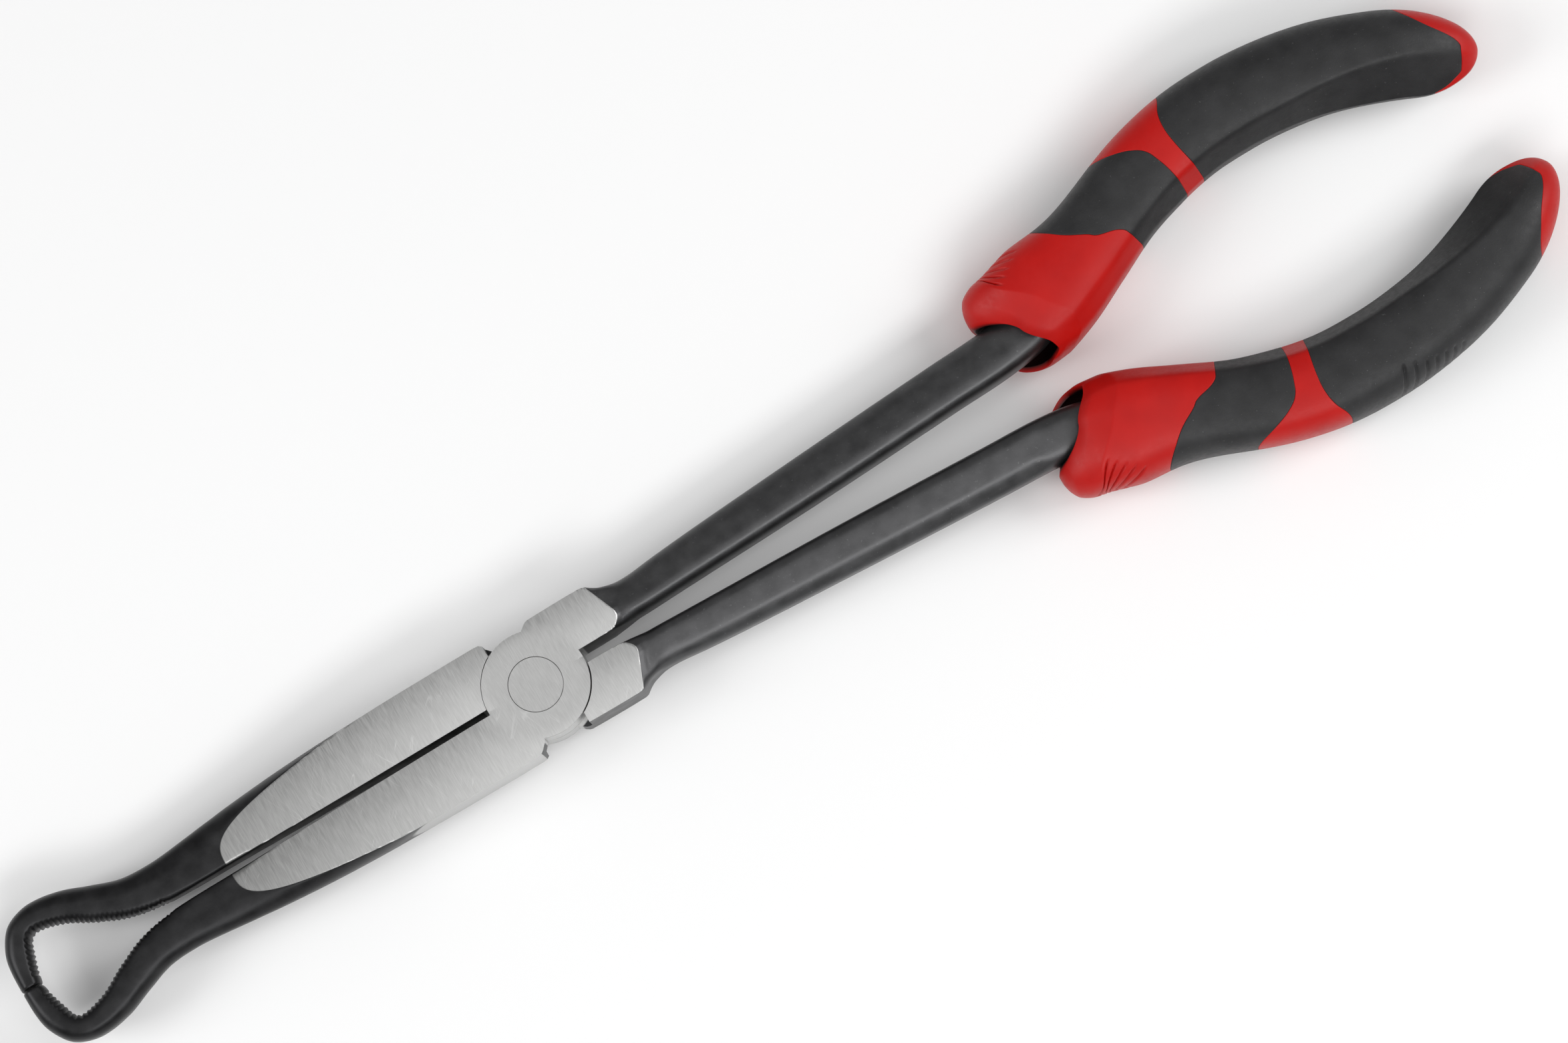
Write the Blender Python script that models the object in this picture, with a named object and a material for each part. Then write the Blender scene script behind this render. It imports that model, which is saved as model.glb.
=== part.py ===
"""Long-reach hose-grip pliers, built as on the bench: two forged levers, a rivet and two two-shot grips.

The pliers lie on their side. +X runs from the jaws to the handles, +Y is the side of lever_a's handle, and +Z is
the rivet's axis. The origin is on that axis, in the lower ground face of the joint. Sizes below are in
millimetres, and MM turns them into Blender's metres where a mesh is made. Both levers are the same forging: lever_b
is lever_a turned half a turn about the X axis. Shapes are written for lever_a's handle side, with y counted
outwards from the tool's centre line.
"""

import math

import bmesh
import bpy
import numpy as np
from mathutils import Matrix, Vector

MM = 0.001

# The lap joint
HEAD_THICKNESS = 10.0
DISC_RADIUS = 8.9
DISC_ROOM = 0.2
LAP_GAP = 0.2
RIVET_RADIUS = 4.5
RIVET_ROOM = 0.1
SHOULDER_X = 4.4
ROUND_SIDES = 48

# The jaws: the two edges of the lever at each station, then half the forging's height there.
# x and y of the inner edge, x and y of the outer edge, half height
JAW_STATIONS = [
    (-2.0, 0.7, -3.3, 8.7, 8.0),
    (-5.0, 0.7, -5.2, 10.0, 8.0),
    (-25.0, 0.7, -25.0, 10.4, 6.6),
    (-40.0, 0.7, -40.0, 10.4, 4.8),
    (-50.0, 0.7, -50.0, 9.8, 3.7),
    (-60.0, 0.7, -60.0, 8.6, 2.88),
    (-69.0, 0.8, -69.0, 7.8, 2.85),
    (-75.5, 1.75, -74.0, 8.1, 3.0),
    (-81.2, 4.1, -79.0, 9.75, 3.1),
    (-86.0, 6.65, -84.0, 11.6, 3.15),
    (-90.2, 7.65, -89.0, 12.35, 3.15),
    (-91.5, 6.9, -93.6, 11.0, 3.15),
    (-92.2, 5.0, -96.2, 7.5, 3.1),
    (-93.0, 2.5, -97.1, 3.6, 3.0),
    (-93.6, 0.15, -97.2, 0.15, 2.9),
]
JAW_SECTIONS = 30
INNER_POWER = [(0.0, 9.0), (0.62, 9.0), (0.76, 2.6), (1.0, 2.6)]
OUTER_POWER = [(0.0, 7.0), (0.2, 3.2), (0.5, 2.6), (1.0, 2.4)]

# Grinding leaves flat faces: level at the joint, then falling towards the jaws' tips
GRIND_BREAK_X = -10.0
GRIND_END_X = -61.0
GRIND_FALL = 2.0 / 48.0
GRIND_DEPTH = 9.0

# The handle: the centre line of shank and tang. x, y, half width, half height
HANDLE_STATIONS = [
    (2.1, 4.88, 3.63, 8.0),
    (4.0, 5.48, 4.23, 8.0),
    (13.6, 5.5, 4.22, 6.6),
    (16.2, 5.1, 3.8, 5.1),
    (20.0, 4.92, 3.5, 4.1),
    (27.0, 5.2, 3.57, 3.9),
    (54.0, 6.55, 4.05, 3.9),
    (81.0, 7.98, 4.22, 3.9),
    (92.0, 8.55, 4.25, 3.9),
    (98.0, 9.3, 4.0, 3.7),
    (105.0, 12.0, 3.5, 3.2),
    (112.0, 15.05, 3.4, 3.0),
    (120.0, 18.8, 3.4, 3.0),
    (128.0, 21.7, 3.4, 3.0),
    (136.0, 23.35, 3.4, 3.0),
    (144.0, 23.7, 3.4, 3.0),
    (152.0, 23.1, 3.4, 3.0),
    (160.0, 21.5, 3.3, 2.9),
    (168.0, 18.7, 3.1, 2.7),
    (175.0, 15.6, 3.0, 2.6),
    (180.0, 12.8, 3.0, 2.6),
    (183.8, 10.2, 3.0, 2.6),
]
SHANK_POWER = 3.4
TANG_START_X = 98.0
TANG_END_X = 171.0
LEVER_SIDES = 16

# The grip's skin around that centre line. x, reach outwards, reach inwards, half thickness
SKIN_STATIONS = [
    (90.0, 11.0, 7.3, 7.6),
    (97.0, 11.4, 7.4, 8.0),
    (105.0, 10.8, 7.9, 8.0),
    (112.0, 8.6, 7.6, 7.4),
    (120.0, 7.6, 7.5, 7.1),
    (128.0, 7.65, 7.8, 7.3),
    (144.0, 7.8, 7.8, 7.9),
    (160.0, 7.75, 7.6, 7.8),
    (170.0, 7.55, 7.45, 7.3),
    (184.0, 7.3, 7.4, 6.8),
]
GRIP_END_X = 183.8
NOSE_START_OUTER_X = 168.5
NOSE_START_INNER_X = 174.5
NOSE_START_TOP_X = 171.0
GRIP_POWER = 2.7
GRIP_SIDES = 20

# The mouth of the grip. The angle round the grip is 0 on the outer side, 90 on top and 180 on the inner side
MOUTH_RIM = [(0, 90.2), (45, 92.6), (90, 96.6), (130, 98.4), (155, 96.4), (180, 93.2)]
MOUTH_NOSE = [(0, 5.0), (90, 6.0), (180, 3.2)]
MOUTH_OUTER = 4.9
MOUTH_INNER = 5.8
MOUTH_HEIGHT = 4.7
MOUTH_LIP = 0.8
MOUTH_DEPTH_X = 100.5

# Where the soft black panels begin and end, as (angle, x) knots
COLLAR_END = [(0, 110.0), (58, 112.0), (90, 115.0), (120, 117.5), (180, 118.0)]
BAND_START = [(0, 123.0), (58, 126.4), (88, 129.8), (110, 130.2), (145, 130.0), (180, 129.2)]
BAND_END = [(0, 135.8), (65, 134.7), (95, 134.4), (150, 134.4), (180, 133.7)]
CAP_START = [(0, 171.8), (50, 175.2), (70, 179.6), (90, 181.0), (130, 181.2), (180, 179.0)]
PANEL_DEPTH = 1.8
FRONT_STEPS = 3
REAR_STEPS = 9
TOUCH_GAP = 0.3
PANEL_END_GAP = 0.9


def smooth(knots):
    """A function through (place, value, ...) knots: cubics with parabola slopes, held back where they overshoot."""
    table = np.array(knots, float)
    places, values = table[:, 0], table[:, 1:]
    steps = np.diff(places)[:, None]
    secants = np.diff(values, axis=0) / steps
    slopes = np.zeros_like(values)
    slopes[0], slopes[-1] = secants[0], secants[-1]
    before, after = secants[:-1], secants[1:]
    parabola = (before * steps[1:] + after * steps[:-1]) / (steps[1:] + steps[:-1])
    limit = 3.0 * np.minimum(abs(before), abs(after))
    slopes[1:-1] = np.where(before * after > 0, np.clip(parabola, -limit, limit), 0.0)

    def at(place):
        i = int(np.clip(np.searchsorted(places, place) - 1, 0, len(steps) - 1))
        length = steps[i, 0]
        t = min(max((place - places[i]) / length, 0.0), 1.0)
        lead = t * t * (3 - 2 * t)
        value = values[i] * (1 - lead) + values[i + 1] * lead
        value = value + length * t * (1 - t) * ((1 - t) * slopes[i] - t * slopes[i + 1])
        return value if len(value) > 1 else float(value[0])

    return at


handle_line = smooth(HANDLE_STATIONS)
grip_skin = smooth(SKIN_STATIONS)


def rounded(angle, power):
    """A point of the superellipse of radius 1: cosine and sine raised so that a higher power is squarer."""
    c, s = math.cos(angle), math.sin(angle)
    return (
        math.copysign(abs(c) ** (2 / power), c),
        math.copysign(abs(s) ** (2 / power), s),
    )


def turns(count):
    return [2 * math.pi * (i + 0.5) / count for i in range(count)]


def ellipse_fall(place, start, end):
    """1 until start, then down a quarter ellipse to 0 at end."""
    t = min(max((place - start) / (end - start), 0.0), 1.0)
    return math.sqrt(1.0 - t * t)


def folded(angle):
    """The angle in degrees, with the lower half of the grip folded onto the upper one."""
    degrees = math.degrees(angle) % 360.0
    return degrees if degrees <= 180.0 else 360.0 - degrees


# ---------------------------------------------------------------- meshes


def mesh_of(name, loops, as_ring=False):
    """A closed mesh through loops of points in millimetres. Its ends are capped, or joined when as_ring is set."""
    bm = bmesh.new()
    rows = [[bm.verts.new(Vector(p) * MM) for p in loop] for loop in loops]
    following = rows[1:] + rows[:1] if as_ring else rows[1:]
    for row, nxt in zip(rows, following):
        for i, vertex in enumerate(row):
            j = (i + 1) % len(row)
            bm.faces.new((vertex, row[j], nxt[j], nxt[i]))
    if not as_ring:
        bm.faces.new(rows[0])
        bm.faces.new(rows[-1])
    bmesh.ops.recalc_face_normals(bm, faces=bm.faces)
    mesh = bpy.data.meshes.new(name)
    bm.to_mesh(mesh)
    bm.free()
    return mesh


def prism(name, outline, low, high, normal="Z"):
    """An outline of (a, b) points pushed from low to high along Z, or along Y where the outline is in XZ."""

    def lift(a, b, level):
        return (a, b, level) if normal == "Z" else (a, level, b)

    return mesh_of(name, [[lift(a, b, level) for a, b in outline] for level in (low, high)])


def round_bar(name, radius, low, high, sides=ROUND_SIDES):
    outline = [(radius * math.cos(a), radius * math.sin(a)) for a in turns(sides)]
    return prism(name, outline, low, high)


def helper(mesh):
    """An object that only serves a Boolean."""
    obj = bpy.data.objects.new(mesh.name, mesh)
    bpy.context.scene.collection.objects.link(obj)
    obj.hide_render = True
    obj.display_type = "WIRE"
    return obj


def combined(name, start, steps):
    """The mesh left when start is joined with, or cut by, each mesh of steps in turn."""
    body = helper(start)
    for operation, mesh in steps:
        tool = helper(mesh)
        modifier = body.modifiers.new(mesh.name, "BOOLEAN")
        modifier.operation = operation
        modifier.object = tool
        modifier.solver = "EXACT"
    graph = bpy.context.evaluated_depsgraph_get()
    result = bpy.data.meshes.new_from_object(body.evaluated_get(graph))
    result.name = name
    for obj in [body] + [m.object for m in body.modifiers]:
        bpy.data.objects.remove(obj)
    return result


def soften(mesh, degrees=35.0):
    mesh.shade_smooth()
    mesh.set_sharp_from_angle(angle=math.radians(degrees))


# ---------------------------------------------------------------- the forged lever


def jaw_loops():
    """Sections from the shoulder to the tip, each spanning the jaw's inner and outer edges."""
    middles = [Vector(((a + c) / 2, (b + d) / 2)) for a, b, c, d, _ in JAW_STATIONS]
    along = [0.0]
    for one, two in zip(middles, middles[1:]):
        along.append(along[-1] + (two - one).length)
    edges = smooth([(s, *station) for s, station in zip(along, JAW_STATIONS)])
    inner_power, outer_power = smooth(INNER_POWER), smooth(OUTER_POWER)
    loops = []
    for i in range(JAW_SECTIONS + 1):
        share = i / JAW_SECTIONS
        ax, ay, bx, by, height = edges(share * along[-1])
        middle = Vector(((ax + bx) / 2, (ay + by) / 2))
        across = Vector(((bx - ax) / 2, (by - ay) / 2))
        loop = []
        for angle in turns(LEVER_SIDES):
            power = outer_power(share) if math.cos(angle) > 0 else inner_power(share)
            c, s = rounded(angle, power)
            point = middle + across * c
            loop.append((point.x, -point.y, height * s))
        loops.append(loop)
    return loops


def handle_section(x, wider=0.0):
    """The shank's or tang's section at x, square to its centre line, made wider all round by that much."""
    y, half_width, half_height = handle_line(x)
    slope = (handle_line(x + 0.2)[0] - handle_line(x - 0.2)[0]) / 0.4
    normal = Vector((-slope, 1.0)).normalized()
    power = 7.0 if x < 14.0 else SHANK_POWER
    loop = []
    for angle in turns(LEVER_SIDES):
        c, s = rounded(angle, power)
        point = Vector((x, y)) + normal * (half_width + wider) * c
        loop.append((point.x, point.y, (half_height + wider) * s))
    return loop


def handle_loops():
    shank = [2.1, 4.0, 9.0, 13.6, 15.0, 16.2, 18.0, 20.0, 23.0, 27.0, 40.0, 54.0, 67.0, 81.0, 92.0, 95.0]
    tang = [98.0, 101.5, 105.0, 108.5, 112.0, 116.0, 120.0, 128.0, 136.0, 144.0, 152.0, 160.0, 168.0]
    return [handle_section(x) for x in shank + tang + [TANG_END_X]]


def grinding_tool(name, side):
    """What the grinder takes off the upper face (side 1) or the lower face (side -1)."""
    half = HEAD_THICKNESS / 2
    far = half - (GRIND_BREAK_X - GRIND_END_X) * GRIND_FALL
    high = half + GRIND_DEPTH
    outline = [
        (GRIND_END_X, far * side),
        (GRIND_BREAK_X, half * side),
        (30.0, half * side),
        (30.0, high * side),
        (GRIND_END_X, high * side),
    ]
    return prism(name, outline, -14.0, 14.0, normal="Y")


def lever_mesh():
    """lever_a: its disc fills the upper half of the joint, and room is cut in the lower half for lever_b's disc."""
    half = HEAD_THICKNESS / 2
    deep = half + 4.0
    lap = LAP_GAP / 2
    disc = round_bar("disc", DISC_RADIUS, lap, deep)
    room = round_bar("room_for_other_disc", DISC_RADIUS + DISC_ROOM, -deep, lap)
    box = [(-SHOULDER_X, -14.0), (SHOULDER_X, -14.0), (SHOULDER_X, 14.0), (-SHOULDER_X, 14.0)]
    shoulders = prism("room_between_shoulders", box, -deep - 0.5, lap)
    hole = round_bar("rivet_hole", RIVET_RADIUS + RIVET_ROOM, -deep, deep + 1.0)
    mesh = combined(
        "lever",
        mesh_of("jaw", jaw_loops()),
        [
            ("UNION", mesh_of("handle", handle_loops())),
            ("DIFFERENCE", room),
            ("DIFFERENCE", shoulders),
            ("UNION", disc),
            ("DIFFERENCE", hole),
            ("DIFFERENCE", grinding_tool("grind_top", 1)),
            ("DIFFERENCE", grinding_tool("grind_bottom", -1)),
        ],
    )
    soften(mesh)
    return mesh


# ---------------------------------------------------------------- the grip


def skin_reach(x, angle, inset=0.0):
    """(across, height) of the grip's skin at x and angle, moved in by inset."""
    outwards, inwards, top = grip_skin(x)
    outwards *= ellipse_fall(x, NOSE_START_OUTER_X, GRIP_END_X)
    inwards *= ellipse_fall(x, NOSE_START_INNER_X, GRIP_END_X)
    top *= ellipse_fall(x, NOSE_START_TOP_X, GRIP_END_X)
    c, s = rounded(angle, GRIP_POWER)
    side = outwards if c > 0 else inwards
    return max(side - inset, 0.2) * c, max(top - inset, 0.2) * s


def mouth_reach(angle, lip=0.0):
    """(across, height) of the hole that the shank enters, made wider by lip."""
    c, s = rounded(angle, GRIP_POWER)
    side = MOUTH_OUTER if c > 0 else MOUTH_INNER
    return (side + lip) * c, (MOUTH_HEIGHT + lip) * s


def placed(x, across, height):
    """The point that lies that far across the handle's centre line and that high, at x along it."""
    y = handle_line(x)[0]
    slope = (handle_line(x + 0.2)[0] - handle_line(x - 0.2)[0]) / 0.4
    normal = Vector((-slope, 1.0)).normalized()
    return (x + normal.x * across, y + normal.y * across, height)


def skin_loop(place, inset=0.0):
    """A loop on the skin. place is an x, or a function that gives x at an angle in degrees."""
    loop = []
    for angle in turns(GRIP_SIDES):
        x = place(folded(angle)) if callable(place) else place
        loop.append(placed(x, *skin_reach(x, angle, inset)))
    return loop


def between(start, end, share):
    """The function of angle that lies that share of the way from one edge line to another."""
    return lambda degrees: start(degrees) * (1 - share) + end(degrees) * share


def shifted(edge, distance):
    return lambda degrees: edge(degrees) + distance


def shares_of(steps):
    return [i / steps for i in range(steps + 1)]


mouth_rim = smooth(MOUTH_RIM)
mouth_nose = smooth(MOUTH_NOSE)
collar_end = smooth(COLLAR_END)
band_start = smooth(BAND_START)
band_end = smooth(BAND_END)
cap_start = smooth(CAP_START)


def mouth_loops():
    """From inside the mouth over its lip and round the collar's nose, a quarter ellipse from lip to skin."""
    loops = []
    for x in (MOUTH_DEPTH_X, None):
        loop = []
        for angle in turns(GRIP_SIDES):
            start = mouth_rim(folded(angle)) + 0.4 if x is None else x
            loop.append(placed(start, *mouth_reach(angle)))
        loops.append(loop)
    for turn in (0, 20, 45, 70, 90):
        lead = 1 - math.cos(math.radians(turn))
        rise = math.sin(math.radians(turn))
        loop = []
        for angle in turns(GRIP_SIDES):
            degrees = folded(angle)
            x = mouth_rim(degrees) + mouth_nose(degrees) * lead
            lip = mouth_reach(angle, MOUTH_LIP)
            skin = skin_reach(x, angle)
            point = [a + (b - a) * rise for a, b in zip(lip, skin)]
            loop.append(placed(x, *point))
        loops.append(loop)
    return loops


def tang_hole_loops():
    """The blind hole for the tang, from its bottom out to the mouth's floor."""
    wide = TOUCH_GAP + 0.05
    places = [TANG_END_X + 0.6, 168.0, 160.0, 152.0, 144.0, 136.0, 128.0, 120.0, 112.0, 105.0, MOUTH_DEPTH_X]
    loops = []
    for x in places:
        _, half_width, half_height = handle_line(x)
        loop = []
        for angle in turns(GRIP_SIDES):
            c, s = rounded(angle, SHANK_POWER)
            loop.append(placed(x, (half_width + wide) * c, (half_height + wide) * s))
        loops.append(loop)
    return loops


def core_mesh():
    """The hard red first shot: collar, band and end cap in one, with a sunk bed for each soft panel."""
    nose_end = lambda degrees: mouth_rim(degrees) + mouth_nose(degrees)
    loops = tang_hole_loops() + mouth_loops()
    loops += [skin_loop(between(nose_end, collar_end, share)) for share in (0.35, 0.7, 1.0)]
    loops += [skin_loop(between(collar_end, band_start, s), PANEL_DEPTH) for s in shares_of(FRONT_STEPS)]
    loops += [skin_loop(between(band_start, band_end, s)) for s in shares_of(2)]
    loops += [skin_loop(between(band_end, cap_start, s), PANEL_DEPTH) for s in shares_of(REAR_STEPS)]
    tip = lambda degrees: GRIP_END_X - 0.15
    loops += [skin_loop(between(cap_start, tip, share)) for share in (0.0, 0.5, 0.85)]
    loops.append(skin_loop(GRIP_END_X - 0.15))
    mesh = mesh_of("grip_core", loops)
    soften(mesh)
    return mesh


def panel_mesh(name, start, end, steps):
    """A soft black sleeve that lies in its bed with its outside flush with the skin."""
    start, end = shifted(start, PANEL_END_GAP), shifted(end, -PANEL_END_GAP)
    shares = shares_of(steps)
    outside = [skin_loop(between(start, end, share)) for share in shares]
    inside = [skin_loop(between(start, end, share), PANEL_DEPTH - TOUCH_GAP) for share in reversed(shares)]
    mesh = mesh_of(name, outside + inside, as_ring=True)
    soften(mesh)
    return mesh


# ---------------------------------------------------------------- materials and assembly


def material(name, colour, roughness, metallic=0.0):
    made = bpy.data.materials.new(name)
    made.use_nodes = True
    shader = made.node_tree.nodes["Principled BSDF"]
    shader.inputs["Base Color"].default_value = (*colour, 1.0)
    shader.inputs["Roughness"].default_value = roughness
    shader.inputs["Metallic"].default_value = metallic
    return made


def part(name, mesh, finish, carrier):
    """A named object that rides on a lever's empty. The mesh is copied, so that each piece has its own material."""
    own = mesh.copy()
    own.materials.clear()
    own.materials.append(finish)
    obj = bpy.data.objects.new(name, own)
    bpy.context.scene.collection.objects.link(obj)
    obj.parent = carrier
    return obj


def carrier(name, turned):
    """An empty on the rivet's axis, half way up the joint."""
    empty = bpy.data.objects.new(name, None)
    empty.location = (0.0, 0.0, HEAD_THICKNESS / 2 * MM)
    empty.rotation_euler = (math.pi if turned else 0.0, 0.0, 0.0)
    bpy.context.scene.collection.objects.link(empty)
    return empty


def build():
    for obj in list(bpy.data.objects):
        bpy.data.objects.remove(obj)
    forged = material("forged_steel", (0.055, 0.055, 0.058), 0.45, 0.6)
    ground = material("ground_steel", (0.62, 0.62, 0.63), 0.3, 1.0)
    red = material("red_plastic", (0.55, 0.025, 0.015), 0.45)
    black = material("black_rubber", (0.035, 0.036, 0.038), 0.65)

    lever = lever_mesh()
    core = core_mesh()
    front = panel_mesh("front_panel", collar_end, band_start, FRONT_STEPS)
    rear = panel_mesh("rear_panel", band_end, cap_start, REAR_STEPS)
    half = HEAD_THICKNESS / 2
    rivet = round_bar("rivet", RIVET_RADIUS, -half, half)
    soften(rivet)

    for letter, turned in (("a", False), ("b", True)):
        holder = carrier(f"carrier_{letter}", turned)
        part(f"lever_{letter}", lever, forged, holder)
        part(f"grip_core_{letter}", core, red, holder)
        part(f"grip_front_panel_{letter}", front, black, holder)
        part(f"grip_rear_panel_{letter}", rear, black, holder)
        if letter == "a":
            part("rivet", rivet, ground, holder)


build()
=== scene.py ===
"""Long-reach hose-grip pliers: the finished surfaces and materials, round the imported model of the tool.

The pliers lie on their side. +X runs from the jaws to the handles, +Y is the side of lever_a's handle, +Z is the
rivet's axis and the origin is in the joint's lower ground face. Sizes are in millimetres, and MM turns them into
Blender's metres. Both levers are one forging: the shape is written for lever_a, with y counted outwards from the
tool's centre line and z from the middle of the joint, and lever_b is that shape turned half a turn about X.
"""

import functools
import math

import bpy
import numpy as np
from mathutils import Matrix, Vector


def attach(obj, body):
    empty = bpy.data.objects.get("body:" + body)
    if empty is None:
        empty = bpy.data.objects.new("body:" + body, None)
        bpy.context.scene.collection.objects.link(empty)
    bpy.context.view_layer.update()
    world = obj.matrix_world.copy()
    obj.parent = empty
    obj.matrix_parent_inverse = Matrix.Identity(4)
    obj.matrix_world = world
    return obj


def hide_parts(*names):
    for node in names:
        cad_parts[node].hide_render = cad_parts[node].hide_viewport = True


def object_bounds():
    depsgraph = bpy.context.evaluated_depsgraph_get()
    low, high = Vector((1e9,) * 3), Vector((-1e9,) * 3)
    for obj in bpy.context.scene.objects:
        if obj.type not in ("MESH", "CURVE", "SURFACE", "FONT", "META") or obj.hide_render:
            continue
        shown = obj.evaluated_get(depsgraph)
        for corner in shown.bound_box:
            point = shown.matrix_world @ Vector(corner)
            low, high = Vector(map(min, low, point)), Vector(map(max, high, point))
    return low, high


MM = 0.001
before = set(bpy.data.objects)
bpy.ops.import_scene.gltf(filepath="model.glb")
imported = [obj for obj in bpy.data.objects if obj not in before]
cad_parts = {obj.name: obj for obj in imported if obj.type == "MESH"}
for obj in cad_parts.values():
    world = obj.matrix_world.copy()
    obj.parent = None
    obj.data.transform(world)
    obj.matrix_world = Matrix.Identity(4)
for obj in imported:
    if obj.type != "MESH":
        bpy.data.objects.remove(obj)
cad_low, cad_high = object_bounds()
DETAIL = 1.0

# ---------------------------------------------------------------- the tool's own sizes

HEAD_THICKNESS = 10.0
HALF_HEAD = HEAD_THICKNESS / 2
DISC_RADIUS = 8.9
DISC_CHAMFER = 0.05
DISC_ROOM = 0.14
DISC_ROOM_X = 0.1
LAP_GAP = 0.2
SLIP = 0.002  # keeps two faces out of one plane, for the Booleans
RIVET_RADIUS = 4.5
RIVET_ROOM = 0.05
RIVET_CHAMFER = 0.08
SHOULDER_X = 4.4
SHOULDER_Y = 14.0
SIDE_GRIND_Y = 10.25
# x over which the ground sides of the head set in on the jaws, and end at the shanks
SIDE_GRIND_JAW = (-34.0, -26.0)
SIDE_GRIND_SHANK = (15.0, 17.0)
# the bright part of those sides: its ends, and how far its front end bows back for each square millimetre of height
SIDE_FACE_START_X = -30.0
SIDE_FACE_END_X = 14.4
SIDE_FACE_BOW = 0.16
SIDE_FACE_FADE = (-0.09, -0.05)
JOINT_FACE_RADIUS = 9.5  # the joint is ground bright all round inside it

# x and y of the jaw's inner edge, x and y of its outer edge, half height of the forging
JAW_STATIONS = [
    (-2.0, 0.5, -3.3, 8.7, 8.0),
    (-5.0, 0.5, -5.2, 10.3, 8.0),
    (-25.0, 0.56, -25.0, 10.5, 9.0),
    (-30.0, 0.58, -30.0, 10.48, 8.2),
    (-36.0, 0.6, -36.0, 10.42, 6.4),
    (-42.0, 0.63, -42.0, 10.2, 5.15),
    (-47.0, 0.65, -47.0, 9.9, 4.35),
    (-51.5, 0.67, -51.5, 9.55, 3.74),
    (-54.8, 0.69, -54.8, 9.25, 3.3),
    (-57.0, 0.7, -57.0, 9.0, 3.1),
    (-58.5, 0.7, -58.5, 8.85, 3.0),
    (-62.0, 0.7, -62.0, 8.45, 2.88),
    (-69.0, 0.8, -69.0, 7.85, 2.85),
    (-75.5, 1.75, -74.0, 8.15, 3.0),
    (-81.2, 4.1, -79.0, 9.8, 3.1),
    (-86.0, 6.65, -84.0, 11.65, 3.15),
    (-90.2, 7.65, -89.0, 12.35, 3.15),
    (-91.5, 6.9, -93.6, 11.0, 3.15),
    (-92.2, 5.0, -96.2, 7.5, 3.1),
    (-93.0, 2.5, -97.05, 3.6, 3.0),
    (-93.6, 0.15, -97.13, 0.15, 2.9),
]
# the share of the way to the tip, and how square the section is on the jaw's inner and outer side
INNER_POWER = [(0.0, 9.0), (0.58, 9.0), (0.64, 6.0), (0.76, 3.0), (1.0, 2.8)]
OUTER_POWER = [(0.0, 7.0), (0.2, 3.0), (0.33, 2.2), (0.5, 2.05), (0.65, 2.3), (1.0, 2.4)]
JAW_SECTIONS = 420
# share of the sections, share of the way: close together round the toothed ring, further apart down the jaw
JAW_CROWDING = [(0.0, 0.0), (0.2, 0.6), (0.985, 0.996), (1.0, 1.0)]
LEVER_SIDES = 120
# the tip's end is rounded over the last of the way, down to this much less of its section
TIP_ROUND_START = 0.9955
TIP_ROUND_LENGTH = 0.0045
TIP_ROUND_DEPTH = 0.09

TOOTH_PITCH = 0.84
TOOTH_DEPTH = 0.3
TEETH_START_X = -68.5
TEETH_FADE = 1.5
TEETH_END = (0.985, 0.99)  # share of the way to the tip
TEETH_SIDE = (0.45, 0.85)  # how near the inner edge they are cut, by the cosine round the section

GRIND_BREAK_X = -10.0
GRIND_FALL = 2.0 / 48.0
GRIND_CLEARANCE = 4.0  # how far the grinding lifts off the forging past the flats
# the flats' outline: (|y| / half width)^4 = share of the length from the tip
FLAT_TIP_X = -58.0
FLAT_LENGTH = 33.0
FLAT_HALF_WIDTH = 10.6
FLAT_MIDDLE_Y = 5.4
FLAT_CROWN = 0.0175  # how much the face's slope changes in each millimetre across it
# the handle's ground face ends on two slanted lines, x = outer - slant * |y| and x = inner + slant * |y|, rounded
# into each other
HANDLE_FLAT_OUTER_X = 18.65
HANDLE_FLAT_SLANT = 0.41
HANDLE_FLAT_INNER_X = 13.6
HANDLE_FLAT_INNER_SLANT = 1.45
HANDLE_FLAT_ROUND = 3.6
# over what the bright face fades out: height off its plane, share of the flats' length, x at the handle
FLAT_FADE_HEIGHT = (-0.35, -0.1)
FLAT_FADE_SHARE = 0.006
FLAT_FADE_X = 0.08
EDGE_SOFTNESS = 0.06
HANDLE_EDGE_SOFTNESS = 0.35
HANDLE_EDGE_X = (12.5, 14.5)

# x, y of the centre line, half width, half height
HANDLE_STATIONS = [
    (2.1, 4.88, 3.63, 8.0),
    (4.0, 5.48, 4.23, 8.0),
    (13.8, 5.53, 4.27, 7.2),
    (14.6, 5.485, 4.235, 7.0),
    (15.3, 5.275, 4.025, 6.8),
    (16.2, 5.0, 3.75, 6.5),
    (17.5, 4.825, 3.525, 5.0),
    (18.9, 4.775, 3.395, 4.4),
    (21.0, 4.8, 3.37, 4.05),
    (27.0, 5.18, 3.55, 3.9),
    (54.0, 6.55, 4.05, 3.9),
    (81.0, 7.98, 4.22, 3.9),
    (92.0, 8.55, 4.25, 3.9),
    (98.0, 9.3, 4.0, 3.7),
    (105.0, 12.0, 3.5, 3.2),
    (112.0, 15.05, 3.4, 3.0),
    (120.0, 18.8, 3.4, 3.0),
    (128.0, 21.7, 3.4, 3.0),
    (136.0, 23.35, 3.4, 3.0),
    (144.0, 23.7, 3.4, 3.0),
    (152.0, 23.1, 3.4, 3.0),
    (160.0, 21.5, 3.3, 2.9),
    (168.0, 18.7, 3.1, 2.7),
    (175.0, 15.6, 3.0, 2.6),
    (180.0, 12.8, 3.0, 2.6),
    (183.8, 10.2, 3.0, 2.6),
]
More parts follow.
